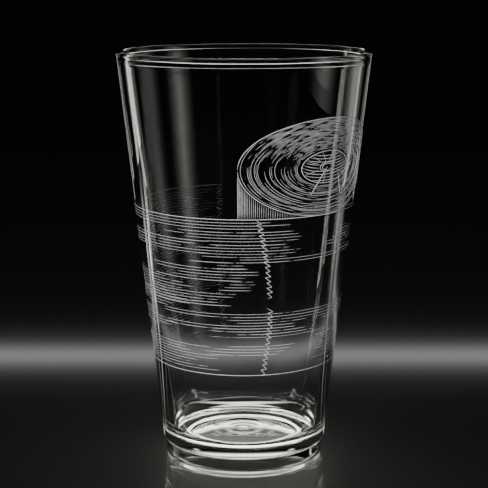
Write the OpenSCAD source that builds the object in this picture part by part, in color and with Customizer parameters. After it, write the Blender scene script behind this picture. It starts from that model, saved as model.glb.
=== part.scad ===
// A clear pint glass with white etched line art: a paper roll and the sheet that unwinds
// round the wall. The glass stands on Z = 0, its axis is Z and its front faces -Y.
// Etched lines are thin frosted skins on the outside of the tapered wall. Their places
// are given as a height and an angle round the glass, counted from the front to the right.

/* [Glass] */
// Height of the glass from the table to the top of the lip
glass_h = 147; // [118:0.5:180]
// Outer diameter across the rounded lip
rim_d = 89; // [74:0.5:108]
// Outer diameter of the wall where it meets the heel
wall_foot_d = 58; // [48:0.5:70]

/* [Wall and lip] */
// Thickness of the wall just under the lip
wall_rim_t = 2.4; // [1.6:0.1:4]
// Thickness of the wall at the floor
wall_foot_t = 3.8; // [2:0.1:5]
// How far the rounded lip swells past the wall on each side
lip_swell = 0.1; // [0:0.05:0.8]

/* [Base] */
// Thickness of the floor under the drink
floor_t = 10; // [6:0.5:16]
// Radius of the corner between the floor and the wall, inside
floor_corner_r = 7; // [2:0.5:12]
// Height of the heel band, from the table to the wall
heel_h = 9; // [6:0.5:14]
// How far the heel band stands in from the wall
heel_step = 0.8; // [0.2:0.1:2]
// Height of the slope that joins the heel band to the wall
heel_slope_h = 1.2; // [0.4:0.1:3]
// Radius of the rounding under the heel
heel_r = 2.4; // [1:0.2:4]

/* [Foot] */
// Width of the flat ring that the glass stands on
land_w = 1.2; // [0.6:0.1:3]
// Width of the stippled ring inside the flat ring
stipple_w = 3.4; // [2:0.1:6]
// Depth of the stippled ring, and height of its dots
stipple_h = 0.25; // [0.1:0.05:0.6]
// Diameter of one dot
stipple_d = 0.9; // [0.5:0.1:1.6]
// Number of dots round each of the two rows
stipple_n = 60; // [24:6:72]
// Height of the hollow under the base, at its middle
hollow_h = 2.8; // [1:0.1:5]
// Radius of the rounded edge of the hollow
hollow_edge_r = 2; // [0.5:0.1:4]

/* [Etched lines] */
// Width of an etched line
line_w = 0.3; // [0.15:0.05:0.8]
// How far the frosted skin of a line stands out of the wall
line_t = 0.08; // [0.04:0.01:0.2]
// Distance from the lip down to the top of the drawn roll
drawing_drop = 20.2; // [8:0.2:26]

/* [Drawn roll] */
// Height of the oval end of the roll
roll_h = 32.8; // [24:0.2:40]
// Angle round the glass from the front to the middle of the roll
roll_a = 43; // [0:1:90]
// Half the width of the roll, as an angle round the glass
roll_half_a = 46; // [30:1:60]
// Number of paper layers drawn on the end of the roll
layer_n = 9; // [4:1:12]
// Size of the core, as a part of the size of the roll
core_share = 0.33; // [0.2:0.01:0.5]
// Size of the hub inside the core, as a part of the size of the roll
hub_share = 0.08; // [0.05:0.01:0.12]
// Number of spokes drawn on the core
spoke_n = 14; // [6:1:24]
// Angle between the upright lines on the side of the roll
side_line_step_a = 1.8; // [1:0.1:4]

/* [Drawn sheet] */
// Height of the sheet that hangs from the roll
sheet_h = 54.7; // [40:0.1:60]
// Distance between rows of hatching
row_step = 1.3; // [0.9:0.1:3]
// Half the width of the zigzag where the sheet tears
tear_half_w = 0.9; // [0.4:0.1:2]
// Height of one tooth of the zigzag
tear_step = 1.8; // [1:0.1:4]
// Angle round the glass of the tear on the front
front_tear_a = 10; // [-30:1:30]
// Angle round the glass of the tear on the back
back_tear_a = 194; // [150:1:210]

/* [Hidden] */
$fn = 96;

// Lip: a circle whose middle lies on the middle of the wall. The wall's faces meet it
// at an angle of lip_a below the level.
lip_d = wall_rim_t + 2 * lip_swell;
lip_x = rim_d / 2 - lip_d / 2;
lip_z = glass_h - lip_d / 2;
lip_a = acos(wall_rim_t / lip_d);
wall_top_z = lip_z - lip_d / 2 * sin(lip_a);

// Outer face of the wall, a cone from the heel to the lip
wall_foot_r = wall_foot_d / 2;
wall_slope = (lip_x + wall_rim_t / 2 - wall_foot_r) / (wall_top_z - heel_h);
function wall_r(z) = wall_foot_r + (z - heel_h) * wall_slope;

// Inner face of the wall, a cone from the floor to the lip
inner_foot_r = wall_r(floor_t) - wall_foot_t;
inner_rim_r = lip_x - wall_rim_t / 2;
inner_slope = (inner_rim_r - inner_foot_r) / (wall_top_z - floor_t);
inner_a = atan(inner_slope);

// Foot rings, from the outside in
heel_out_r = wall_foot_r - heel_step;
foot_r = heel_out_r - heel_r;
land_in_r = foot_r - land_w;
hollow_r = land_in_r - stipple_w;
hollow_top_r = hollow_r - hollow_edge_r;
hollow_top_z = stipple_h + hollow_edge_r;

// Drawing, from the top down
roll_half_h = roll_h / 2;
roll_z = glass_h - drawing_drop - roll_half_h;
sheet_top_z = roll_z - roll_half_h;
sheet_low_z = sheet_top_z - sheet_h;
// Angle that the front of the sheet covers to each side
sheet_half_a = 88;
// The back of the sheet ends a little short of the front of the sheet
sheet_end_gap_a = 2;
back_end_a = 360 - sheet_half_a - sheet_end_gap_a;
// Angle left free beside the tear on the back
tear_gap_a = 3;
// Part of each layer's oval that is drawn before the line breaks off, in degrees
layer_sweep = 300;
// Half the small gap where a closed oval begins and ends, in degrees round the oval
join_t = 1.5;
core_join_t = 5;
hub_join_t = 24;
// Largest angle by which a row of hatching starts late
row_gap_a = 34;
// Clear space round the roll's side lines, in line widths
side_clear_n = 3;
outline_clear_n = 1.5;
hatch_seed = 11;
layer_seed = 5;
// Straight pieces in a drawn oval, in the small oval of the hub, and round the lip
oval_n = 36;
hub_n = 18;
lip_n = 24;
// Rows of dots in the stippled ring
stipple_row_n = 2;
// Where a spoke begins outside the hub and ends inside the core, as parts of their sizes
spoke_from = 1.4;
spoke_to = 0.9;
// Leader lines, as angles from the middle of the roll and parts of its half height
leader_low = [-9, 0.55];
leader_right_high = [9, 0.2];
leader_right_low = [12, 0.6];

// Points on an arc about [x, z] with radius r, from angle a0 to a1
function arc(x, z, r, a0, a1, n = 12) = [
    for (i = [0 : n])
        let (a = a0 + (a1 - a0) * i / n)
        [x + r * cos(a), z + r * sin(a)]
];

// Top of the hollow, a shallow curve from its middle out to its rounded edge
function hollow_top(n = 8) = [
    for (i = [0 : n - 1])
        let (r = hollow_top_r * i / n)
        [r, hollow_h + (hollow_top_z - hollow_h) * pow(i / n, 2)]
];

// Point on the wall at angle a from the front and height z, standing out by t
function on_wall(a, z, t) =
    let (r = wall_r(z) + t)
    [r * sin(a), -r * cos(a), z];

// Millimetres round the wall for one degree, at height z
function mm_per_degree(z) = wall_r(z) * PI / 180;

// Direction of a drawn line at its point i, as [along the wall, up], one long
function heading(pts, i) =
    let (
        p = pts[max(i - 1, 0)],
        q = pts[min(i + 1, len(pts) - 1)],
        d = [(q[0] - p[0]) * mm_per_degree(pts[i][1]), q[1] - p[1]]
    )
    d / norm(d);

// The four corners of a drawn line's section at its point i
function section(pts, i) =
    let (
        d = heading(pts, i),
        a = pts[i][0],
        z = pts[i][1],
        da = d[1] * line_w / 2 / mm_per_degree(z),
        dz = -d[0] * line_w / 2
    )
    [
        on_wall(a - da, z - dz, 0), on_wall(a + da, z + dz, 0),
        on_wall(a + da, z + dz, line_t), on_wall(a - da, z - dz, line_t)
    ];

// A line drawn on the wall through a list of [angle, height] points
module drawn_line(pts) {
    n = len(pts);
    corners = [for (i = [0 : n - 1]) each section(pts, i)];
    sides = [
        for (i = [0 : n - 2])
            for (k = [0 : 3])
                let (
                    a = 4 * i + k,
                    b = 4 * i + (k + 1) % 4
                )
                each [[a, a + 4, b], [b, a + 4, b + 4]]
    ];
    last = 4 * (n - 1);
    ends = [
        [0, 1, 2], [0, 2, 3],
        [last + 2, last + 1, last], [last + 3, last + 2, last]
    ];
    polyhedron(corners, concat(sides, ends), convexity = 8);
}

// A level line round the wall at height z, from angle a0 to a1
module level_line(z, a0, a1) {
    low = z - line_w / 2;
    high = z + line_w / 2;
    rotate([0, 0, a0 - 90])
        rotate_extrude(angle = a1 - a0)
            polygon([
                [wall_r(low), low], [wall_r(low) + line_t, low],
                [wall_r(high) + line_t, high], [wall_r(high), high]
            ]);
}

// A line up the wall at angle a, from height z0 to z1
module upright_line(a, z0, z1) {
    wide_a = line_w / mm_per_degree(z0);
    rotate([0, 0, a - wide_a / 2 - 90])
        rotate_extrude(angle = wide_a)
            polygon([
                [wall_r(z0), z0], [wall_r(z0) + line_t, z0],
                [wall_r(z1) + line_t, z1], [wall_r(z1), z1]
            ]);
}

// Points on the roll's oval at a share of its size, from angle t0 to t1 round the oval
function oval(share, t0, t1, n) = [
    for (i = [0 : n])
        let (t = t0 + (t1 - t0) * i / n)
        [roll_a + roll_half_a * share * cos(t), roll_z + roll_half_h * share * sin(t)]
];

// Point at an angle from the middle of the roll, a share of its half height below it
function on_roll(place) = [roll_a + place[0], roll_z - roll_half_h * place[1]];

// Points of a zigzag at angle a, from the top of the sheet to its lower border
function zigzag(a) =
    let (n = floor(sheet_h / tear_step) * 2)
    [
        for (i = [0 : n])
            let (
                z = sheet_top_z - sheet_h * i / n,
                side = (i % 2) * 2 - 1
            )
            [a + side * tear_half_w / mm_per_degree(z), z]
    ];

// Rows of level lines over the sheet, from angle a0 to a1. Each row starts up to loose0
// after a0 and stops up to loose1 before a1.
module hatching(a0, a1, loose0, loose1, seed) {
    row_n = floor(sheet_h / row_step) - 1;
    late = rands(0, loose0, row_n, seed);
    early = rands(0, loose1, row_n, seed + 1);
    for (i = [0 : row_n - 1])
        level_line(sheet_low_z + row_step * (i + 1), a0 + late[i], a1 - early[i]);
}

// The top and bottom border of the sheet, from angle a0 to a1
module borders(a0, a1) {
    for (z = [sheet_low_z, sheet_top_z])
        level_line(z, a0, a1);
}

// The dots of the stippled ring, in two rows
module stipple_dots() {
    for (row = [0 : stipple_row_n - 1])
        for (i = [0 : stipple_n - 1])
            rotate([0, 0, 360 * (i + row / stipple_row_n) / stipple_n])
                translate([hollow_r + stipple_w * (row + 1) / (stipple_row_n + 1), 0, 0])
                    cylinder(h = 2 * stipple_h, d = stipple_d, $fn = 24);
}

module glass_body() {
    corner_z = floor_t + floor_corner_r;
    corner_x = inner_foot_r + floor_corner_r * (inner_slope - 1 / cos(inner_a));
    // Half of the glass cut through its axis, from the wall's foot up, over the lip and down
    section = concat(
        [[wall_foot_r, heel_h]],
        arc(lip_x, lip_z, lip_d / 2, -lip_a, 180 + lip_a, lip_n),
        arc(corner_x, corner_z, floor_corner_r, -inner_a, -90),
        [[0, floor_t]],
        hollow_top(),
        arc(hollow_top_r, stipple_h, hollow_edge_r, 90, 0),
        [[land_in_r, stipple_h], [land_in_r, 0]],
        arc(foot_r, heel_r, heel_r, -90, 0),
        [[heel_out_r, heel_h - heel_slope_h]]
    );
    color([0.78, 0.86, 0.86, 0.45])
        union() {
            rotate_extrude()
                polygon(section);
            stipple_dots();
        }
}

module etched_roll_outline() {
    side_a = roll_a - roll_half_a;
    // The side line stops where the oval is a line's width clear of it
    clear_share = 1 - outline_clear_n * line_w / mm_per_degree(roll_z) / roll_half_a;
    side_top_z = roll_z - roll_half_h * sqrt(1 - clear_share * clear_share);
    color("white") {
        for (t = [0, 180])
            drawn_line(oval(1, t + join_t, t + 180 - join_t, oval_n));
        drawn_line([[side_a, side_top_z], [side_a, sheet_top_z + line_w]]);
    }
}

module etched_roll_layers() {
    begin = rands(0, 360, layer_n, layer_seed);
    color("white")
        for (i = [1 : layer_n])
            drawn_line(oval(
                core_share + (1 - core_share) * i / (layer_n + 1),
                begin[i - 1], begin[i - 1] + layer_sweep, oval_n
            ));
}

module etched_roll_core() {
    color("white") {
        drawn_line(oval(core_share, 180 + core_join_t, 540 - core_join_t, oval_n));
        drawn_line(oval(hub_share, 180 + hub_join_t, 540 - hub_join_t, hub_n));
        for (i = [0 : spoke_n - 1])
            let (t = 360 * i / spoke_n)
            drawn_line([
                oval(hub_share * spoke_from, t, t + 1, 1)[0],
                oval(core_share * spoke_to, t, t + 1, 1)[0]
            ]);
    }
}

module etched_roll_side() {
    line_n = floor(roll_half_a / side_line_step_a);
    color("white")
        for (i = [1 : line_n - 1])
            let (
                off_a = roll_half_a - i * side_line_step_a,
                share = off_a / roll_half_a,
                edge_z = roll_z - roll_half_h * sqrt(1 - share * share)
            )
            if (edge_z - sheet_top_z > side_clear_n * line_w)
                upright_line(roll_a - off_a, sheet_top_z + line_w, edge_z - line_w);
}

module etched_leader_lines() {
    color("white") {
        drawn_line([[roll_a, roll_z], on_roll(leader_low)]);
        drawn_line([on_roll(leader_right_high), on_roll(leader_right_low)]);
    }
}

module etched_front_borders() {
    color("white")
        borders(-sheet_half_a, sheet_half_a);
}

module etched_front_hatching() {
    color("white")
        hatching(-sheet_half_a, row_gap_a, row_gap_a, 2 * row_gap_a, hatch_seed);
}

module etched_front_tear() {
    color("white")
        drawn_line(zigzag(front_tear_a));
}

module etched_back_borders() {
    color("white")
        borders(back_tear_a, back_end_a);
}

module etched_back_hatching() {
    color("white")
        hatching(back_tear_a + tear_gap_a, back_end_a, row_gap_a, row_gap_a / 2, hatch_seed + 2);
}

module etched_back_tear() {
    color("white")
        drawn_line(zigzag(back_tear_a));
}

glass_body();
etched_roll_outline();
etched_roll_layers();
etched_roll_core();
etched_roll_side();
etched_leader_lines();
etched_front_borders();
etched_front_hatching();
etched_front_tear();
etched_back_borders();
etched_back_hatching();
etched_back_tear();
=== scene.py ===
# %% [markdown]
# A pint glass of clear pressed glass, with white line art etched round its wall: a paper
# roll and the sheet that unwinds from it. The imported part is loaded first, because its
# boxes and its mesh say where everything is, and nothing here is measured a second time.

# %% Load the fixed frame
import math

import bpy
import numpy as np
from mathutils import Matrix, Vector


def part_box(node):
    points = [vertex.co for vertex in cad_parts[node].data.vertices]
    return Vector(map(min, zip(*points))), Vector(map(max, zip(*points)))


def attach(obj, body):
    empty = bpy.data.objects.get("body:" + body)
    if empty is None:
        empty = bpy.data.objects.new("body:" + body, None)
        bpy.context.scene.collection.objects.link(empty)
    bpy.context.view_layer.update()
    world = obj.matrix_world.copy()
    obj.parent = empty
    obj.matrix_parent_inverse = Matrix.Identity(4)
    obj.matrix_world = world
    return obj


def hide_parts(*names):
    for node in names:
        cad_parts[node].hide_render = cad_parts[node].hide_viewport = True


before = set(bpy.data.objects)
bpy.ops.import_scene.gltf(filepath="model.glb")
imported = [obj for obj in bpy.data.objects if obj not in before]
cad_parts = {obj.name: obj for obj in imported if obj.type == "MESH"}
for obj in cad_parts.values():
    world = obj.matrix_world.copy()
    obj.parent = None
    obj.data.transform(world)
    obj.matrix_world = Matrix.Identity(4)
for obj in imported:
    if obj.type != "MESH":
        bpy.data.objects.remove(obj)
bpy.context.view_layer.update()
MM = 0.001

# %% [markdown]
# The outer wall of the glass is a cone, and both the body and the etched lines sit on it.
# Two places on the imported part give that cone: the widest ring of the body's mesh near
# the foot, where the wall meets the heel band, and the outside of the sheet's top border,
# less the thickness of a line.

# %% Measure the wall's cone
LINE_T = 0.08 * MM
NEAR_FOOT = (0.03, 0.1)
_, body_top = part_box("glass_body")
GLASS_H = body_top.z
cad_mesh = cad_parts["glass_body"].data
cad_points = np.empty(3 * len(cad_mesh.vertices))
cad_mesh.vertices.foreach_get("co", cad_points)
cad_points = cad_points.reshape(-1, 3)
radii = np.hypot(cad_points[:, 0], cad_points[:, 1])
share_up = cad_points[:, 2] / GLASS_H
near_foot = (share_up > NEAR_FOOT[0]) & (share_up < NEAR_FOOT[1])
shoulder = np.argmax(np.where(near_foot, radii, 0.0))
RIM_R = radii.max()
SHOULDER_R, SHOULDER_Z = radii[shoulder], cad_points[shoulder, 2]
SHEET_TOP_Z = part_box("etched_front_borders")[1].z
BORDER_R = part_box("etched_front_borders")[1].x - LINE_T
WALL_SLOPE = (BORDER_R - SHOULDER_R) / (SHEET_TOP_Z - SHOULDER_Z)


def wall_radius(height):
    """Radius of the outer wall at a height: a straight line from the shoulder to the lip."""
    return SHOULDER_R + (height - SHOULDER_Z) * WALL_SLOPE


print("lip radius", RIM_R, "shoulder", SHOULDER_R, SHOULDER_Z, "slope", WALL_SLOPE)

# %% [markdown]
# Every new piece is worked out on a grid, a table of points with rows and columns, and
# comes into Blender as one mesh. Three helpers do what the pieces have in common: one
# makes the piece, one joins a grid's rings with quads, and one closes an end with a fan
# of triangles.

# %% Helpers that turn tables of points into pieces
def make_piece(name, points, faces, material, node_names=()):
    """A smooth-shaded object with its place in its mesh, riding on the root body."""
    mesh = bpy.data.meshes.new(name)
    mesh.from_pydata(points.tolist(), [], faces)
    mesh.polygons.foreach_set("use_smooth", [True] * len(mesh.polygons))
    mesh.materials.append(material)
    mesh.update()
    piece = bpy.data.objects.new(name, mesh)
    bpy.context.scene.collection.objects.link(piece)
    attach(piece, "root")
    if node_names:
        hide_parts(*node_names)
    print(name, len(mesh.vertices), "points,", len(mesh.polygons), "faces")
    return piece


def ring_quads(rows, columns):
    """Quads between neighbouring rows of a grid whose columns close into rings."""
    row, column = np.meshgrid(np.arange(rows - 1), np.arange(columns), indexing="ij")
    after = (column + 1) % columns
    quads = [row * columns + column, row * columns + after,
             (row + 1) * columns + after, (row + 1) * columns + column]
    return np.stack(quads, axis=-1).reshape(-1, 4)


def fan(tip, start, columns):
    """Triangles from one point to each pair of neighbours in the ring that begins at start."""
    first = np.arange(columns)
    after = (first + 1) % columns
    return np.stack([np.full(columns, tip), start + first, start + after], axis=1)

# %% [markdown]
# A material is a tree of nodes. A few helpers place what several finishes need: an empty
# tree or group, noise that stays put on the piece because it reads Object coordinates,
# and a node that takes one range of values to another.

# %% Helpers for node trees
def new_material(name):
    """A material with an empty node tree."""
    material = bpy.data.materials.new(name)
    material.use_nodes = True
    material.node_tree.nodes.clear()
    return material, material.node_tree


def new_group(name, inputs, outputs):
    """An empty shader node group with float inputs (name, value) and typed outputs."""
    group = bpy.data.node_groups.new(name, "ShaderNodeTree")
    for label, value in inputs:
        socket = group.interface.new_socket(label, in_out="INPUT", socket_type="NodeSocketFloat")
        socket.default_value = value
    for label, kind in outputs:
        group.interface.new_socket(label, in_out="OUTPUT", socket_type=kind)
    return group, group.nodes.new("NodeGroupInput"), group.nodes.new("NodeGroupOutput")


def noise(tree, scale, detail, stretch=(1, 1, 1)):
    """A noise texture on Object coordinates, stretched along the axes by a Mapping node."""
    place = tree.nodes.new("ShaderNodeTexCoord")
    mapping = tree.nodes.new("ShaderNodeMapping")
    mapping.inputs["Scale"].default_value = stretch
    texture = tree.nodes.new("ShaderNodeTexNoise")
    texture.inputs["Scale"].default_value = scale
    texture.inputs["Detail"].default_value = detail
    tree.links.new(place.outputs["Object"], mapping.inputs["Vector"])
    tree.links.new(mapping.outputs["Vector"], texture.inputs["Vector"])
    return texture.outputs["Fac"]


def ranged(tree, value, low, high, to_low, to_high):
    """A Map Range node that takes low..high to to_low..to_high and holds the ends."""
    node = tree.nodes.new("ShaderNodeMapRange")
    node.inputs["From Min"].default_value = low
    node.inputs["From Max"].default_value = high
    for label, end in (("To Min", to_low), ("To Max", to_high)):
        if isinstance(end, bpy.types.NodeSocket):
            tree.links.new(end, node.inputs[label])
        else:
            node.inputs[label].default_value = end
    tree.links.new(value, node.inputs["Value"])
    return node.outputs["Result"]

# %% [markdown]
# Pressed glass is never quite even: it has a faint ripple where the mould chilled it, and
# fingers and dust leave it a little less clear in places. One node group makes both from
# noise in Object coordinates. It gives a roughness and a normal, and the shader itself
# keeps plain transmission.

# %% Node group: the surface of handled glass
RIPPLE_DEPTH = 0.2 * MM


def handled_glass_group():
    """Roughness from smudges, and a normal from a slow ripple."""
    group, given, result = new_group(
        "HandledGlass",
        [("Clear Roughness", 0.0), ("Smudge Roughness", 0.04), ("Ripple", 0.1)],
        [("Roughness", "NodeSocketFloat"), ("Normal", "NodeSocketVector")],
    )
    smudge = noise(group, 38.0, 4.0, (1, 1, 0.5))
    rough = ranged(group, smudge, 0.58, 0.74,
                   given.outputs["Clear Roughness"], given.outputs["Smudge Roughness"])
    group.links.new(rough, result.inputs["Roughness"])
    bump = group.nodes.new("ShaderNodeBump")
    bump.inputs["Distance"].default_value = RIPPLE_DEPTH
    group.links.new(given.outputs["Ripple"], bump.inputs["Strength"])
    group.links.new(noise(group, 24.0, 0.0, (1, 1, 0.3)), bump.inputs["Height"])
    group.links.new(bump.outputs["Normal"], result.inputs["Normal"])
    return group


HANDLED_GLASS = handled_glass_group()
print("node group", HANDLED_GLASS.name, len(HANDLED_GLASS.nodes), "nodes")

# %% [markdown]
# Clear soda-lime glass bends light by 1.52 and has a trace of green. Lamps can't find
# their way through two glass surfaces on their own, so for rays from lamps the material
# turns into a clear pane with a light tint: what stands inside or behind the glass is lit
# through it, and its shadow on the table stays pale.

# %% Material: clear glass
GLASS_IOR = 1.52
GLASS_TINT = (0.955, 0.985, 0.975, 1)
PANE_TINT = (0.9, 0.93, 0.92, 1)


def clear_glass():
    """Glass for the eye, and a tinted pane for rays from lamps."""
    material, tree = new_material("clear_glass")
    glass = tree.nodes.new("ShaderNodeBsdfPrincipled")
    glass.inputs["Base Color"].default_value = GLASS_TINT
    glass.inputs["Metallic"].default_value = 0.0
    glass.inputs["Transmission Weight"].default_value = 1.0
    glass.inputs["IOR"].default_value = GLASS_IOR
    surface = tree.nodes.new("ShaderNodeGroup")
    surface.node_tree = HANDLED_GLASS
    tree.links.new(surface.outputs["Roughness"], glass.inputs["Roughness"])
    tree.links.new(surface.outputs["Normal"], glass.inputs["Normal"])
    pane = tree.nodes.new("ShaderNodeBsdfTransparent")
    pane.inputs["Color"].default_value = PANE_TINT
    path = tree.nodes.new("ShaderNodeLightPath")
    mix = tree.nodes.new("ShaderNodeMixShader")
    output = tree.nodes.new("ShaderNodeOutputMaterial")
    tree.links.new(path.outputs["Is Shadow Ray"], mix.inputs["Fac"])
    tree.links.new(glass.outputs["BSDF"], mix.inputs[1])
    tree.links.new(pane.outputs["BSDF"], mix.inputs[2])
    tree.links.new(mix.outputs["Shader"], output.inputs["Surface"])
    return material


CLEAR_GLASS = clear_glass()
print("material", CLEAR_GLASS.name)

# %% [markdown]
# The etched lines are glass whose surface was broken up by a laser, so light scatters at
# it and they look like white frost. Their colour and roughness change a little from place
# to place, as the depth of the etching does.

# %% Material: frosted line
THIN_FROST = (0.62, 0.66, 0.67, 1)
DEEP_FROST = (0.97, 0.98, 0.98, 1)
# The Mix node's colour sockets share their names with its other ones, so they go by number
MIX_FACTOR, MIX_A, MIX_B, MIX_RESULT = 0, 6, 7, 2


def frosted_line():
    """White frost whose colour and roughness follow a fine noise."""
    material, tree = new_material("frosted_line")
    frost = tree.nodes.new("ShaderNodeBsdfPrincipled")
    depth = noise(tree, 900.0, 3.0)
    shade = tree.nodes.new("ShaderNodeMix")
    shade.data_type = "RGBA"
    shade.inputs[MIX_A].default_value = THIN_FROST
    shade.inputs[MIX_B].default_value = DEEP_FROST
    tree.links.new(ranged(tree, depth, 0.3, 0.6, 0.0, 1.0), shade.inputs[MIX_FACTOR])
    tree.links.new(shade.outputs[MIX_RESULT], frost.inputs["Base Color"])
    tree.links.new(ranged(tree, depth, 0.3, 0.7, 0.8, 0.5), frost.inputs["Roughness"])
    frost.inputs["IOR"].default_value = GLASS_IOR
    output = tree.nodes.new("ShaderNodeOutputMaterial")
    tree.links.new(frost.outputs["BSDF"], output.inputs["Surface"])
    return material


FROSTED_LINE = frosted_line()
print("material", FROSTED_LINE.name)

# %% [markdown]
# The body is one pressed piece, so it is one surface turned round the axis. Its section
# starts under the middle of the base, goes out over the foot and the heel band, up the
# wall, over the fire-polished lip, down the inside and back to the axis on the floor.
# Corners that a mould leaves soft are arcs, and straight stretches need few points.

# %% Sizes of the body, and the two kinds of stretch its section has
WALL_RIM_T = 2.4 * MM
WALL_FOOT_T = 3.8 * MM
LIP_R = 1.3 * MM
FLOOR_T = 10 * MM
FLOOR_CORNER_R = 7 * MM
FLOOR_CROWN = 0.35 * MM
FLOOR_RING = 0.04 * MM
HEEL_STEP = 0.8 * MM
HEEL_SLOPE_H = 1.2 * MM
HEEL_CROWN = 0.12 * MM
HEEL_R = 2.4 * MM
LAND_W = 1.2 * MM
LAND_EDGE_R = 0.12 * MM
STIPPLE_W = 3.4 * MM
STIPPLE_H = 0.25 * MM
HOLLOW_H = 2.8 * MM
HOLLOW_EDGE_R = 2 * MM
HEEL_OUT_R = SHOULDER_R - HEEL_STEP
FOOT_R = HEEL_OUT_R - HEEL_R
LAND_IN_R = FOOT_R - LAND_W
HOLLOW_R = LAND_IN_R - STIPPLE_W


def arc(x, z, radius, start, end, count):
    """Points on a circle about (x, z), between two angles in degrees."""
    turn = np.radians(np.linspace(start, end, count))
    return np.stack([x + radius * np.cos(turn), z + radius * np.sin(turn)], axis=1)


def straight(start, end, count):
    """Evenly spaced points from start to end, leaving both ends out."""
    share = np.linspace(0, 1, count + 2)[1:-1, None]
    return np.array(start) * (1 - share) + np.array(end) * share


print("radius of the heel", HEEL_OUT_R, "foot", FOOT_R, "hollow", HOLLOW_R)

# %% [markdown]
# A glass stands on a narrow ring, the land, because a whole flat base would rock on any
# grain of sand. Inside the land lies the stippled ring, and inside that a shallow hollow.
# Outside it, the heel is rounded and stands back a little from the wall, so that stacked
# or knocked glasses touch at the shoulder and not at the foot.

# %% Underside and heel
def underside():
    """From the axis out: a shallow parabola, a rounded edge, the stippled ring, the land."""
    top_r = HOLLOW_R - HOLLOW_EDGE_R
    top_z = STIPPLE_H + HOLLOW_EDGE_R
    share = np.linspace(0.02, 1, 26)
    dome = np.stack([top_r * share, HOLLOW_H + (top_z - HOLLOW_H) * share ** 2], axis=1)
    edge = arc(top_r, STIPPLE_H, HOLLOW_EDGE_R, 88, 8, 14)
    ring_start = (HOLLOW_R + LAND_EDGE_R, STIPPLE_H)
    ring_end = (LAND_IN_R - LAND_EDGE_R, STIPPLE_H)
    down = arc(LAND_IN_R + LAND_EDGE_R, LAND_EDGE_R, LAND_EDGE_R, 180, 270, 6)
    land = straight((LAND_IN_R + 2 * LAND_EDGE_R, 0), (FOOT_R, 0), 4)
    return np.concatenate([dome, edge, straight(ring_start, ring_end, 8), down, land])


def heel():
    """Rounding under the heel, a barely crowned band, and a soft S into the wall."""
    rounding = arc(FOOT_R, HEEL_R, HEEL_R, -90, 0, 20)
    share = np.linspace(0, 1, 20)[1:-1]
    crown = HEEL_CROWN * np.sin(np.pi * share)
    band_z = HEEL_R + (SHOULDER_Z - HEEL_SLOPE_H - HEEL_R) * share
    band = np.stack([HEEL_OUT_R + crown, band_z], axis=1)
    share = np.linspace(0, 1, 14)
    rise = share * share * (3 - 2 * share)
    s_z = SHOULDER_Z + HEEL_SLOPE_H * (share - 1)
    s_curve = np.stack([HEEL_OUT_R + HEEL_STEP * rise, s_z], axis=1)
    return np.concatenate([rounding, band, s_curve])


print("underside", len(underside()), "points, heel", len(heel()), "points")

# %% [markdown]
# The wall gets thinner towards the lip, where a flame melts the edge into a bead that is
# a little wider than the wall. Inside, the plunger leaves a wide round corner and a floor
# that is crowned by a third of a millimetre, with faint rings.

# %% Lip, inside wall and floor
def lip_and_inside():
    """Up the wall's cone, round the lip's circle, down the inner cone, into the floor."""
    lip_x, lip_z = RIM_R - LIP_R, GLASS_H - LIP_R
    meet = math.degrees(math.acos(WALL_RIM_T / 2 / LIP_R))
    top_z = lip_z - LIP_R * math.sin(math.radians(meet))
    foot = (wall_radius(SHOULDER_Z), SHOULDER_Z)
    outer_top = (lip_x + WALL_RIM_T / 2, top_z)
    inner_top = (lip_x - WALL_RIM_T / 2, top_z)
    inner_foot = (wall_radius(FLOOR_T) - WALL_FOOT_T, FLOOR_T)
    slope = (inner_top[0] - inner_foot[0]) / (top_z - FLOOR_T)
    lean = math.atan(slope)
    corner_x = inner_foot[0] + FLOOR_CORNER_R * (slope - 1 / math.cos(lean))
    corner = arc(corner_x, FLOOR_T + FLOOR_CORNER_R, FLOOR_CORNER_R,
                 -math.degrees(lean), -90, 34)
    share = np.linspace(1, 0, 34)[1:-1]
    crown = FLOOR_CROWN * (1 - share ** 2) + FLOOR_RING * np.sin(4 * np.pi * share) ** 2
    floor = np.stack([corner_x * share, FLOOR_T + crown], axis=1)
    return np.concatenate([
        straight(foot, outer_top, 46),
        arc(lip_x, lip_z, LIP_R, -meet, 180 + meet, 44),
        straight(inner_top, corner[0], 46), corner, floor,
    ])


body_section = np.concatenate([underside(), heel(), lip_and_inside()])
print("section", len(body_section), "points, lowest", body_section[:, 1].min(),
      "widest", body_section[:, 0].max())

# %% [markdown]
# The section is carried round the axis. A faint unevenness makes it glass and not a
# drawing of one: the inner wall is a few hundredths of a millimetre out of round, and the
# lip rises and falls as fire-polishing leaves it.

# %% Glass body
COLUMNS = 280
OUT_OF_ROUND = 0.05 * MM
LIP_BAND_H = 6 * MM
LIP_WAVE_H = 0.07 * MM
# The three waves of the lip added up, taken off so that the lip only ever dips
LIP_WAVE_TOP = 1.95


def uneven(turn, radius, height):
    """Out-of-round inner wall and a lip that waves: sums of sines round the axis."""
    wall_r = wall_radius(height)
    inside = np.clip((wall_r - radius) / WALL_RIM_T - 0.5, 0, 1) * (height > FLOOR_T + MM)
    ripple = np.sin(3 * turn + 0.7) + 0.6 * np.sin(5 * turn + height / (9 * MM) + 2.1)
    ripple = ripple + 0.5 * np.sin(9 * turn - height / (14 * MM))
    near_lip = np.clip((height - GLASS_H + LIP_BAND_H) / LIP_BAND_H, 0, 1) ** 2
    wave = np.sin(2 * turn + 0.4) + 0.6 * np.sin(5 * turn + 1.3) + 0.35 * np.sin(11 * turn)
    radius = radius + OUT_OF_ROUND * ripple * inside * (1 - near_lip)
    height = height + LIP_WAVE_H * near_lip * (wave - LIP_WAVE_TOP)
    return radius, height


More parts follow.
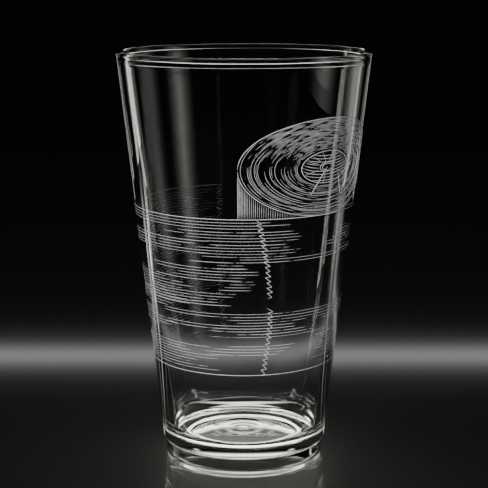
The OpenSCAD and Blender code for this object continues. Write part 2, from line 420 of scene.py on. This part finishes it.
def turned(section, columns):
    """Points (r cos t, r sin t, z) for each section point (r, z) and angle t round the axis."""
    turn = np.linspace(0, 2 * np.pi, columns, endpoint=False)[None, :]
    radius, height = uneven(turn, section[:, :1], section[:, 1:])
    grid = np.stack(np.broadcast_arrays(
        radius * np.cos(turn), radius * np.sin(turn), height), axis=-1)
    return grid.reshape(-1, 3)


def glass_body(section):
    """The turned section, with a fan of triangles at each end to close it on the axis."""
    rows = len(section)
    ends = [[0, 0, HOLLOW_H], [0, 0, FLOOR_T + FLOOR_CROWN]]
    points = np.concatenate([turned(section, COLUMNS), ends])
    under, over = rows * COLUMNS, rows * COLUMNS + 1
    fan_under = fan(under, 0, COLUMNS)[:, ::-1]
    fan_over = fan(over, (rows - 1) * COLUMNS, COLUMNS)
    faces = ring_quads(rows, COLUMNS).tolist() + fan_under.tolist() + fan_over.tolist()
    return make_piece("glass_body_pressed", points, faces, CLEAR_GLASS,
                      ["glass_body"])


body = glass_body(body_section)

# %% [markdown]
# Round the underside runs a band of stippling, hundreds of tiny bumps that the mould
# leaves so that the hot glass touches the belt at few points. Each bump is the same low
# dome, so one dome is worked out once and added to every place in three staggered rings.

# %% Stippling under the base
BUMP_R = 0.42 * MM
BUMP_ROWS = 3
BUMP_PITCH = 2.3 * BUMP_R
BUMP_SIDES = 10
# The rings of a bump, as angles down its side; the first one is sunk into the base
BUMP_LEANS = (-60, 0, 30, 60)
BUMP_SUNK_Z = STIPPLE_H + 0.03 * MM
BUMP_TIP_Z = 0.18 * STIPPLE_H


def bump():
    """A closed lens: radius R cos a at a height that falls with sin a, for a from top to tip."""
    lean = np.radians(BUMP_LEANS)[:, None]
    turn = np.linspace(0, 2 * np.pi, BUMP_SIDES, endpoint=False)[None, :]
    radius = BUMP_R * np.cos(lean)
    height = STIPPLE_H - 0.8 * STIPPLE_H * np.sin(lean)
    height = np.where(lean < 0, BUMP_SUNK_Z, height)
    grid = np.stack(np.broadcast_arrays(
        radius * np.cos(turn), radius * np.sin(turn), height), axis=-1).reshape(-1, 3)
    return np.concatenate([grid, [[0, 0, BUMP_SUNK_Z], [0, 0, BUMP_TIP_Z]]])


def bump_faces():
    """Quads between the rings, and a fan at the sunk end and at the tip."""
    rings = len(BUMP_LEANS)
    sunk, tip = rings * BUMP_SIDES, rings * BUMP_SIDES + 1
    return [
        ring_quads(rings, BUMP_SIDES)[:, ::-1],
        fan(sunk, 0, BUMP_SIDES),
        fan(tip, (rings - 1) * BUMP_SIDES, BUMP_SIDES)[:, ::-1],
    ]


def stippling():
    """The bump moved to each place: equal steps round the axis, half a step on each next ring."""
    places = []
    for row in range(BUMP_ROWS):
        radius = HOLLOW_R + STIPPLE_W * (row + 0.6) / (BUMP_ROWS + 0.2)
        count = int(2 * np.pi * radius / BUMP_PITCH)
        turn = (np.arange(count) + row / 2) * 2 * np.pi / count
        places.append(np.stack([radius * np.cos(turn), radius * np.sin(turn), 0 * turn], axis=1))
    places = np.concatenate(places)
    one = bump()
    points = (places[:, None, :] + one[None, :, :]).reshape(-1, 3)
    faces = []
    for kind in bump_faces():
        shift = len(one) * np.arange(len(places))[:, None, None]
        faces += (kind[None] + shift).reshape(-1, kind.shape[1]).tolist()
    return make_piece("foot_stippling", points, faces, CLEAR_GLASS)


bumps = stippling()

# %% [markdown]
# An etched line is a thin closed strip that follows the wall. Its path is a row of
# (angle, height) pairs; the strip is as wide as the laser's spot, narrower at its ends,
# and stands a few hundredths of a millimetre out of the wall, so that it has a top and
# sides of its own.

# %% Strips that follow the wall
LINE_W = 0.2 * MM
SKIN_IN = 0.01 * MM
TAPER_L = 2.5 * MM
TIP_SHARE = 0.3
TOP_SHARE = 0.8
etched = []


def on_wall(turn, height, out):
    """Point at an angle from the front (-Y) towards +X, standing out of the wall by out."""
    radius = wall_radius(height) + out
    return np.stack([radius * np.sin(turn), -radius * np.cos(turn), height], axis=-1)


def strip(turn, height, width):
    """Four corners at each point: half a width to each side, low and high, less at the ends."""
    radius = wall_radius(height)
    along = np.gradient(turn) * radius
    up = np.gradient(height)
    length = np.hypot(along, up)
    run = np.cumsum(length)
    from_end = np.clip(np.minimum(run - run[0], run[-1] - run) / TAPER_L, 0, 1)
    half = width / 2 * (TIP_SHARE + (1 - TIP_SHARE) * from_end)
    d_turn = up / length * half / radius
    d_height = -along / length * half
    corners = [
        on_wall(turn - d_turn, height - d_height, SKIN_IN),
        on_wall(turn + d_turn, height + d_height, SKIN_IN),
        on_wall(turn + TOP_SHARE * d_turn, height + TOP_SHARE * d_height, LINE_T),
        on_wall(turn - TOP_SHARE * d_turn, height - TOP_SHARE * d_height, LINE_T),
    ]
    return np.stack(corners, axis=1)


def strips_piece(name, paths, node_name):
    """All the strips of one node joined in one mesh, each closed at both its ends."""
    points, faces, start = [], [], 0
    for turn, height, width in paths:
        corners = strip(turn, height, width)
        rows = len(corners)
        points.append(corners.reshape(-1, 3))
        end = start + 4 * (rows - 1)
        faces.append(ring_quads(rows, 4)[:, ::-1] + start)
        faces.append(np.array([[start, start + 1, start + 2, start + 3],
                               [end + 3, end + 2, end + 1, end]]))
        start += 4 * rows
    etched.append(make_piece(name, np.concatenate(points), np.concatenate(faces).tolist(),
                             FROSTED_LINE, [node_name]))

# %% [markdown]
# The sheet's two borders run right across the front, and round the left side to the tear
# on the back. They are the only lines of the drawing that are whole. Their heights come
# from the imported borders, less half the width of a packed line.

# %% Borders of the sheet
CAD_LINE_W = 0.3 * MM
POINT_STEP = 0.9 * MM
SHEET_LOW_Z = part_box("etched_front_borders")[0].z + CAD_LINE_W / 2
SHEET_HIGH_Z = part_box("etched_front_borders")[1].z - CAD_LINE_W / 2
SHEET_H = SHEET_HIGH_Z - SHEET_LOW_Z
FRONT_LEFT_A, FRONT_RIGHT_A = -88, 88
BACK_TEAR_A, BACK_LEFT_A = 194, 270


def level(start, end, height, width):
    """A path round the wall at one height, between two angles in degrees."""
    length = math.radians(abs(end - start)) * wall_radius(height)
    count = max(4, int(length / POINT_STEP))
    turn = np.radians(np.linspace(start, end, count))
    return turn, np.full(count, height), width


for side, start, end in (("front", FRONT_LEFT_A, FRONT_RIGHT_A),
                         ("back", BACK_TEAR_A, BACK_LEFT_A)):
    strips_piece(f"etched_{side}_borders_lines",
                 [level(start, end, z, 1.2 * LINE_W) for z in (SHEET_LOW_Z, SHEET_HIGH_Z)],
                 f"etched_{side}_borders")

# %% [markdown]
# Between the borders the sheet is shaded with level lines, the way an engraver shades
# paper: they lie in clusters, each line starts and stops a little past its neighbour, and
# bare glass is left between the clusters. A cluster is four angles and two heights.

# %% Hatching of the sheet
ROW_STEP = 1.02 * MM
CUT_A = 0.7
rng = np.random.default_rng(7)
# Height from the top border as a share of the sheet, at the first and the last row; then
# the angles between which rows start, and the angles between which they stop
FRONT_CLUSTERS = [
    (0.02, 0.07, -88, -82, -8, 24), (0.08, 0.15, -46, -20, 18, 31),
    (0.12, 0.21, 44, 60, 76, 86), (0.14, 0.23, -87, -80, -34, -18),
    (0.16, 0.25, -28, -18, 22, 31), (0.25, 0.28, -4, 2, 78, 87),
    (0.27, 0.31, -38, -14, -5, 2), (0.31, 0.39, -62, -38, -4, 8),
    (0.39, 0.45, -14, -8, 4, 7), (0.40, 0.59, -87, -80, -48, -28),
    (0.47, 0.55, -82, -60, -14, -1), (0.60, 0.76, -52, -4, 24, 52),
    (0.60, 0.68, 36, 50, 82, 87), (0.64, 0.75, -87, -82, -62, -40),
    (0.78, 0.94, 44, 56, 78, 87), (0.81, 0.88, -24, -4, 18, 32),
    (0.82, 0.97, -87, -80, -36, -14),
]
BACK_CLUSTERS = [
    (0.03, 0.28, 197, 206, 266, 270), (0.33, 0.46, 200, 226, 258, 270),
    (0.50, 0.58, 232, 246, 266, 270), (0.62, 0.77, 196, 216, 250, 270),
    (0.83, 0.95, 208, 228, 262, 270),
]


def dashes(start, end, height, width):
    """A row: one long line, now and then cut by a short gap."""
    cuts = rng.uniform(start, end, rng.integers(0, 3))
    stops = np.concatenate([[start], np.sort(cuts), [end]])
    return [level(stops[i] + CUT_A * (i > 0), stops[i + 1], height, width)
            for i in range(len(stops) - 1) if stops[i + 1] - stops[i] > 2.5 * CUT_A]


def swaying(count, low, high):
    """One angle for each row, low to high by a sine of the row with a little chance in it."""
    sway = np.sin(np.arange(count) * rng.uniform(0.7, 1.6) + rng.uniform(0, 6.28))
    return np.interp(sway + rng.uniform(-0.5, 0.5, count), [-1, 1], [low, high])


def hatching(clusters):
    """Rows of each cluster, whose ends wander from row to row between the given angles."""
    made = []
    for top, bottom, start_low, start_high, stop_low, stop_high in clusters:
        first_z = SHEET_HIGH_Z - top * SHEET_H
        last_z = SHEET_HIGH_Z - bottom * SHEET_H
        heights = np.arange(first_z, last_z, -ROW_STEP)
        starts = swaying(len(heights), start_low, start_high)
        stops = swaying(len(heights), stop_low, stop_high)
        for height, start, stop in zip(heights, starts, stops):
            made += dashes(start, stop, height, LINE_W * rng.uniform(0.5, 0.85))
    return made


strips_piece("etched_front_hatching_lines", hatching(FRONT_CLUSTERS), "etched_front_hatching")
strips_piece("etched_back_hatching_lines", hatching(BACK_CLUSTERS), "etched_back_hatching")

# %% [markdown]
# The sheet tears off along a ragged line. It is drawn as a zigzag whose long strokes slant
# down to the right and whose short ones lead back, and the whole line bows a little.

# %% Tear lines
TOOTH_H = 1.75 * MM
TOOTH_HALF_W = 0.95 * MM
# How far the right end of a stroke is lowered, in strokes, which makes it the longer one
TOOTH_LEAN = 0.65
TEAR_RUNS = ((0.0, 0.5), (0.56, 1.0))
STROKE_POINTS = 8


def tear(top_a, bulge_a):
    """Zigzags: a long stroke down to the right, a short one back; two runs with a gap."""
    runs = []
    for first, last in TEAR_RUNS:
        count = 2 * int((last - first) * SHEET_H / TOOTH_H) + 1
        to_right = np.arange(count) % 2
        step = TOOTH_LEAN * to_right + np.arange(count)
        share = first + (last - first) * np.clip(step / (count - 1), 0, 1)
        height = SHEET_HIGH_Z - SHEET_H * share
        side = TOOTH_HALF_W * rng.uniform(0.7, 1.2, count) * np.where(to_right, 1, -1)
        middle = np.radians(top_a + bulge_a * np.sin(0.8 * np.pi * share))
        fine = np.linspace(0, count - 1, STROKE_POINTS * count)
        height = np.interp(fine, range(count), height)
        swing = side / wall_radius(height[::STROKE_POINTS])
        turn = np.interp(fine, range(count), middle + swing)
        runs.append((turn, height, 0.95 * LINE_W))
    return runs


strips_piece("etched_front_tear_line", tear(7, 7.5), "etched_front_tear")
strips_piece("etched_back_tear_line", tear(BACK_TEAR_A + 0.8, 1.5), "etched_back_tear")

# %% [markdown]
# The roll is drawn from above its end: an oval, with the paper's layers as smaller ovals
# inside it. The layers come in bands of two or three lines with dark gaps, which close up
# at the far side, so there the engraver put more lines between them.

# %% End of the roll
_, roll_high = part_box("etched_roll_outline")
ROLL_Z = (SHEET_HIGH_Z + roll_high.z - CAD_LINE_W / 2) / 2
ROLL_HALF_H = ROLL_Z - SHEET_HIGH_Z
ROLL_A = 43
ROLL_HALF_A = 46
CORE_SHARE = 0.33
LAYER_BANDS = 9
LAYER_STEP = 0.017
FAR_LAYERS = 32
POINTS_PER_DEGREE = 0.42


def oval(share, start, end, width=LINE_W):
    """Round the roll's oval at a share of its size: angle by cosine, height by sine."""
    count = max(6, int(abs(end - start) * share * POINTS_PER_DEGREE))
    around = np.radians(np.linspace(start, end, count))
    turn = np.radians(ROLL_A + ROLL_HALF_A * share * np.cos(around))
    return turn, ROLL_Z + ROLL_HALF_H * share * np.sin(around), width


def broken_oval(share, begin, finish, shortest, longest, gap):
    """Dashes round an oval from one angle to another."""
    made, at = [], begin
    while at < finish:
        stop = min(at + rng.uniform(shortest, longest), finish)
        if stop - at > 3:
            made.append(oval(share, at, stop, LINE_W * rng.uniform(0.5, 0.75)))
        at = stop + rng.uniform(0.4, 1) * gap
    return made


layers = []
for share in np.linspace(CORE_SHARE + 0.07, 0.955, LAYER_BANDS):
    for beside in rng.permutation([-LAYER_STEP, 0.0, LAYER_STEP])[:rng.integers(2, 4)]:
        begin = rng.uniform(150, 200)
        layers += broken_oval(share + beside, begin, begin + rng.uniform(100, 260), 18, 90, 9)
for share in np.linspace(CORE_SHARE + 0.05, 0.98, FAR_LAYERS):
    layers += broken_oval(share, rng.uniform(8, 40), rng.uniform(136, 172), 8, 36, 6)
strips_piece("etched_roll_layers_lines", layers, "etched_roll_layers")
strips_piece("etched_roll_outline_line", [
    oval(1, 181, 539, 1.1 * LINE_W),
    (np.full(20, math.radians(ROLL_A - ROLL_HALF_A)),
     np.linspace(ROLL_Z - 2 * MM, SHEET_HIGH_Z, 20), LINE_W),
], "etched_roll_outline")

# %% [markdown]
# The core is a tube seen from above: sagging lines across its wall, a few spokes, and a
# small round hub with a thick edge.

# %% Core of the roll
HUB_SHARE = 0.1
CORE_ARCS = 9
ARC_POINTS = 60
core = [oval(CORE_SHARE, 0, 357, 1.2 * LINE_W)]
core += [oval(share, 0, 352, 1.2 * LINE_W) for share in (0.7 * HUB_SHARE, HUB_SHARE)]


def core_arc(drop):
    """A sagging line across the core: the core's lower edge lifted by drop, cut to the oval."""
    across = np.linspace(-1, 1, ARC_POINTS)
    height = drop - 0.55 * np.sqrt(1 - 0.9 * across ** 2)
    in_core = across ** 2 + height ** 2 < 0.94
    off_hub = across ** 2 + height ** 2 * 1.3 > 0.09
    inside = in_core & off_hub
    runs = np.split(np.arange(ARC_POINTS), np.flatnonzero(np.diff(inside)) + 1)
    return [(np.radians(ROLL_A + ROLL_HALF_A * CORE_SHARE * across[run]),
             ROLL_Z + ROLL_HALF_H * CORE_SHARE * height[run], LINE_W * rng.uniform(0.9, 1.2))
            for run in runs if inside[run[0]] and len(run) > 3]


def spoke(around):
    """A straight line from near the hub to near the core's edge."""
    near = oval(HUB_SHARE * 1.2, around, around)
    far = oval(CORE_SHARE * 0.95, around, around)
    return (np.linspace(near[0][0], far[0][0], 10), np.linspace(near[1][0], far[1][0], 10),
            0.8 * LINE_W)


for drop in np.linspace(-0.3, 1.25, CORE_ARCS):
    core += core_arc(drop)
core += [spoke(around) for around in (78, 104, 130, 152, 205, 262, 330)]
strips_piece("etched_roll_core_lines", core, "etched_roll_core")

# %% [markdown]
# The side of the roll is shaded by upright lines, close together at the left where the
# roll turns away. Two thin lines point from the drawing to bare glass, as on a patent
# sheet; the letters that such lines would carry are left out.

# %% Side of the roll and the leader lines
SIDE_CLEAR = 0.25 * MM
SIDE_LEAST_H = 1.1 * MM
LEADER_POINTS = 24
side_lines = []
for share in np.linspace(0.04, 0.8, 32) ** 1.35:
    off_a = ROLL_HALF_A * (1 - share)
    edge_z = ROLL_Z - ROLL_HALF_H * math.sqrt(1 - (off_a / ROLL_HALF_A) ** 2)
    if edge_z - SHEET_HIGH_Z > SIDE_LEAST_H:
        side_lines.append((np.full(8, math.radians(ROLL_A - off_a)),
                           np.linspace(edge_z - SIDE_CLEAR, SHEET_HIGH_Z + SIDE_CLEAR, 8),
                           LINE_W * rng.uniform(0.6, 1.0)))
strips_piece("etched_roll_side_lines", side_lines, "etched_roll_side")


def leader(start_a, start_z, end_a, end_z):
    """A straight line over the drawing, from (angle, height) to (angle, height)."""
    return (np.radians(np.linspace(start_a, end_a, LEADER_POINTS)),
            np.linspace(start_z, end_z, LEADER_POINTS), 1.6 * LINE_W)


strips_piece("etched_leader_lines_drawn", [
    leader(ROLL_A, ROLL_Z, ROLL_A - 9, ROLL_Z - 0.55 * ROLL_HALF_H),
    leader(ROLL_A + 9, ROLL_Z - 0.2 * ROLL_HALF_H, ROLL_A + 12, ROLL_Z - 0.6 * ROLL_HALF_H),
], "etched_leader_lines")

# %% [markdown]
# The glass stands on a plain pale table that runs back into the dark. Its polished top
# mirrors the foot of the glass: a thin clear coat over a dull pale board does that. The
# board lies a hair below the glass, so that the two faces don't fight for the same place.

# %% Table
TABLE_HALF_W = 2.0
TABLE_GAP = 0.05 * MM
BOARD_COLOUR = (0.53, 0.51, 0.5, 1)


def table():
    """A square board, flat under the glass and centred on it."""
    material, tree = new_material("pale_table")
    top = tree.nodes.new("ShaderNodeBsdfPrincipled")
    top.inputs["Base Color"].default_value = BOARD_COLOUR
    top.inputs["Roughness"].default_value = 0.5
    top.inputs["Coat Weight"].default_value = 1.0
    top.inputs["Coat Roughness"].default_value = 0.06
    top.inputs["Coat IOR"].default_value = 1.8
    output = tree.nodes.new("ShaderNodeOutputMaterial")
    tree.links.new(top.outputs["BSDF"], output.inputs["Surface"])
    mesh = bpy.data.meshes.new("table")
    corners = [(x * TABLE_HALF_W, y * TABLE_HALF_W, -TABLE_GAP)
               for x, y in ((-1, -1), (1, -1), (1, 1), (-1, 1))]
    mesh.from_pydata(corners, [], [(0, 1, 2, 3)])
    mesh.materials.append(material)
    floor = bpy.data.objects.new("table", mesh)
    bpy.context.scene.collection.objects.link(floor)
    return floor


floor = table()
print("table", 2 * TABLE_HALF_W, "m square")

# %% [markdown]
# Glass has no colour of its own to light: what shows it are the bright things it mirrors
# and bends. So the glass is lit by cards, flat pieces that glow, brightest in the middle
# and dark at their sides. Light linking keeps their light off everything else, and they
# are hidden from the camera, so they can stand wherever the glass needs something bright.

# %% How a light card is made
CARD_COLOUR = (1.0, 0.97, 0.91, 1)
# The glow is gone where the UV map reaches 1, at a card's sides; at top and bottom a
# little of it is left
CARD_FADE = [(-1, -0.8), (1, -0.8), (1, 0.8), (-1, 0.8)]


def lit_only(lamp, pieces):
    """Light linking: the lamp lights these pieces and nothing else."""
    receivers = bpy.data.collections.new(lamp.name + "_lights")
    for piece in pieces:
        receivers.objects.link(piece)
    lamp.light_linking.receiver_collection = receivers


def glow(name, fade_kind, fade_ends, strength_ends):
    """A material that glows, between two strengths by a round gradient on the UV map."""
    material, tree = new_material(name)
    place = tree.nodes.new("ShaderNodeTexCoord")
    fade = tree.nodes.new("ShaderNodeTexGradient")
    fade.gradient_type = fade_kind
    emission = tree.nodes.new("ShaderNodeEmission")
    emission.inputs["Color"].default_value = CARD_COLOUR
    output = tree.nodes.new("ShaderNodeOutputMaterial")
    tree.links.new(place.outputs["UV"], fade.inputs["Vector"])
    strength = ranged(tree, fade.outputs["Fac"], *fade_ends, *strength_ends)
    tree.links.new(strength, emission.inputs["Strength"])
    tree.links.new(emission.outputs["Emission"], output.inputs["Surface"])
    return material


def glowing_card(name, corners, uv, material):
    """One flat face that only the glass sees."""
    mesh = bpy.data.meshes.new(name)
    mesh.from_pydata(corners, [], [tuple(range(len(corners)))])
    mesh.uv_layers.new(name="card").data.foreach_set("uv", np.ravel(uv))
    mesh.materials.append(material)
    card = bpy.data.objects.new(name, mesh)
    bpy.context.scene.collection.objects.link(card)
    card.visible_camera = False
    card.visible_diffuse = False
    card.visible_shadow = False
    lit_only(card, [body, bumps])
    print("light card", name)


def light_card(name, corners, strength):
    """A card with four corners, as bright as strength in its middle and dark at its sides."""
    glowing_card(name, corners, CARD_FADE, glow(name, "QUADRATIC_SPHERE", (0, 1), (0, strength)))

# %% [markdown]
# Tall cards stand round the glass, behind it and to its sides. Two narrow ones nearly
# behind it draw its edges, a pair at wider angles makes the soft upright streaks, and two
# more lie on the table and carry the streaks down to the foot. One beside the glass fills
# in the side of the heel, and a wide one stands far behind and higher up, for the lip.

# %% Cards round the glass
CARD_AWAY = 0.5
CARD_LIFT = 0.01 * MM


def upright(azimuth, distance, low, high, width):
    """Corners of a card that faces the glass, at an azimuth from straight behind."""
    turn = math.radians(azimuth)
    middle = distance * np.array([math.sin(turn), math.cos(turn)])
    across = width / 2 * np.array([math.cos(turn), -math.sin(turn)])
    return [(*(middle + side * across), height)
            for side, height in ((-1, low), (1, low), (1, high), (-1, high))]


def lying(azimuth, spread, near, far):
    """Corners of a card on the table that widens with its distance from the glass."""
    left, right = math.radians(azimuth - spread), math.radians(azimuth + spread)
    return [(distance * math.sin(turn), distance * math.cos(turn), CARD_LIFT)
            for turn, distance in ((left, near), (right, near), (right, far), (left, far))]


light_card("edge_left", upright(-24, CARD_AWAY, -0.4, 0.35, 0.06), 1.6)
light_card("edge_right", upright(24, CARD_AWAY, -0.4, 0.35, 0.06), 1.6)
light_card("streak_left", upright(-54, CARD_AWAY, -0.5, 0.45, 0.09), 6.0)
light_card("streak_right", upright(61, CARD_AWAY, -0.4, 0.45, 0.36), 0.9)
light_card("side_right", upright(106, CARD_AWAY, -0.2, 0.5, 0.34), 1.8)
light_card("low_behind", upright(0, 2.0, 0.56, 0.72, 1.8), 6.0)
light_card("table_left", lying(-54, 5, 0.05, CARD_AWAY), 4.0)
light_card("table_right", lying(56, 6, 0.05, CARD_AWAY), 1.8)

# %% [markdown]
# The thick base is the brightest part of a glass that stands on a lit table, because it
# gathers light from all round its foot. Three small cards stand close to the heel, and a
# disc under the base is dim in its middle and bright at its rim, so that the base shows a
# bright ring.

# %% Cards at the foot
HEEL_AWAY = 0.034
HEEL_LOW, HEEL_HIGH = 0.5 * MM, 9 * MM
HEEL_CARD_W = 0.012
DISC_R = LAND_IN_R - 0.3 * MM
DISC_CORNERS = 64
DISC_STRENGTH = 10.0
DISC_DIM = 0.03


def under_base():
    """A level disc whose glow grows with the distance from its middle, up to near its rim."""
    turn = np.arange(DISC_CORNERS) * 2 * np.pi / DISC_CORNERS
    rim = np.stack([np.cos(turn), np.sin(turn)], axis=1)
    corners = [(x, y, CARD_LIFT) for x, y in (DISC_R * rim).tolist()]
    ring = glow("under_base", "SPHERICAL", (0.28, 0.03), (DISC_DIM * DISC_STRENGTH, DISC_STRENGTH))
    glowing_card("under_base", corners, rim, ring)


light_card("behind_heel", upright(0, HEEL_AWAY, 4 * MM, 7 * MM, 0.06), 4.0)
light_card("heel_left", upright(-62, HEEL_AWAY, HEEL_LOW, HEEL_HIGH, HEEL_CARD_W), 9.0)
light_card("heel_right", upright(62, HEEL_AWAY, HEEL_LOW, HEEL_HIGH, HEEL_CARD_W), 9.0)
under_base()

# %% [markdown]
# The frost and the table have lamps of their own, which the glass doesn't mirror. The
# lamp in front lights the front of the drawing and the lamp behind lights the back, so
# that the half that is seen through the glass stays the fainter one. A long thin lamp
# just above the table, behind the glass, leaves a soft band of light across it.

# %% Lamps
DRAWING_LAMP_SIZE = (0.5, 0.2)
DRAWING_LAMP_POWER = 10.0
BAND_BACK = 0.134
ROOM_COLOUR = (0.002, 0.0021, 0.0022, 1)


def soft_light(name, place, size, power, aim):
    """A rectangular lamp at place, turned to face aim."""
    lamp = bpy.data.lights.new(name, "AREA")
    lamp.shape = "RECTANGLE"
    lamp.size, lamp.size_y = size
    lamp.energy = power
    holder = bpy.data.objects.new(name, lamp)
    holder.location = place
    holder.rotation_euler = (Vector(aim) - Vector(place)).to_track_quat("-Z", "Y").to_euler()
    holder.visible_camera = False
    holder.visible_glossy = False
    holder.visible_transmission = False
    bpy.context.scene.collection.objects.link(holder)
    print("lamp", name, power, "W")
    return holder


middle = (0, 0, GLASS_H / 2)
back_lines = [line for line in etched if "back" in line.name]
front_lines = [line for line in etched if "back" not in line.name]
front = soft_light("front", (-0.25, -0.9, 0.2), DRAWING_LAMP_SIZE, DRAWING_LAMP_POWER, middle)
lit_only(front, front_lines)
behind = soft_light("behind", (0.25, 0.9, 0.2), DRAWING_LAMP_SIZE, DRAWING_LAMP_POWER, middle)
lit_only(behind, back_lines)
soft_light("above", (0, -0.1, 0.8), (0.6, 0.4), 0.09, (0, 0, 0))
band = soft_light("table_glow", (0, BAND_BACK, 0.018), (4.0, 0.02), 0.34, (0, BAND_BACK, 0))
lit_only(band, [floor])

world = bpy.data.worlds.new("dark_room")
world.use_nodes = True
world.node_tree.nodes["Background"].inputs["Color"].default_value = ROOM_COLOUR
bpy.context.scene.world = world

# %% [markdown]
# The camera stands half a metre away and a little above the rim, and looks down at a
# point just above the middle of the glass.

# %% Camera
CAMERA_BACK = 0.4975
CAMERA_UP = 0.1765
AIM_UP = 0.0784
camera = bpy.data.cameras.new("camera")
camera.lens = 105.1
camera.sensor_width = 36
tilt = math.atan2(CAMERA_UP - AIM_UP, CAMERA_BACK)
tripod = bpy.data.objects.new("camera", camera)
tripod.location = (0, -CAMERA_BACK, CAMERA_UP)
tripod.rotation_euler = (math.pi / 2 - tilt, 0, 0)
bpy.context.scene.collection.objects.link(tripod)
bpy.context.scene.camera = tripod
print("camera looks down by", math.degrees(tilt), "degrees")
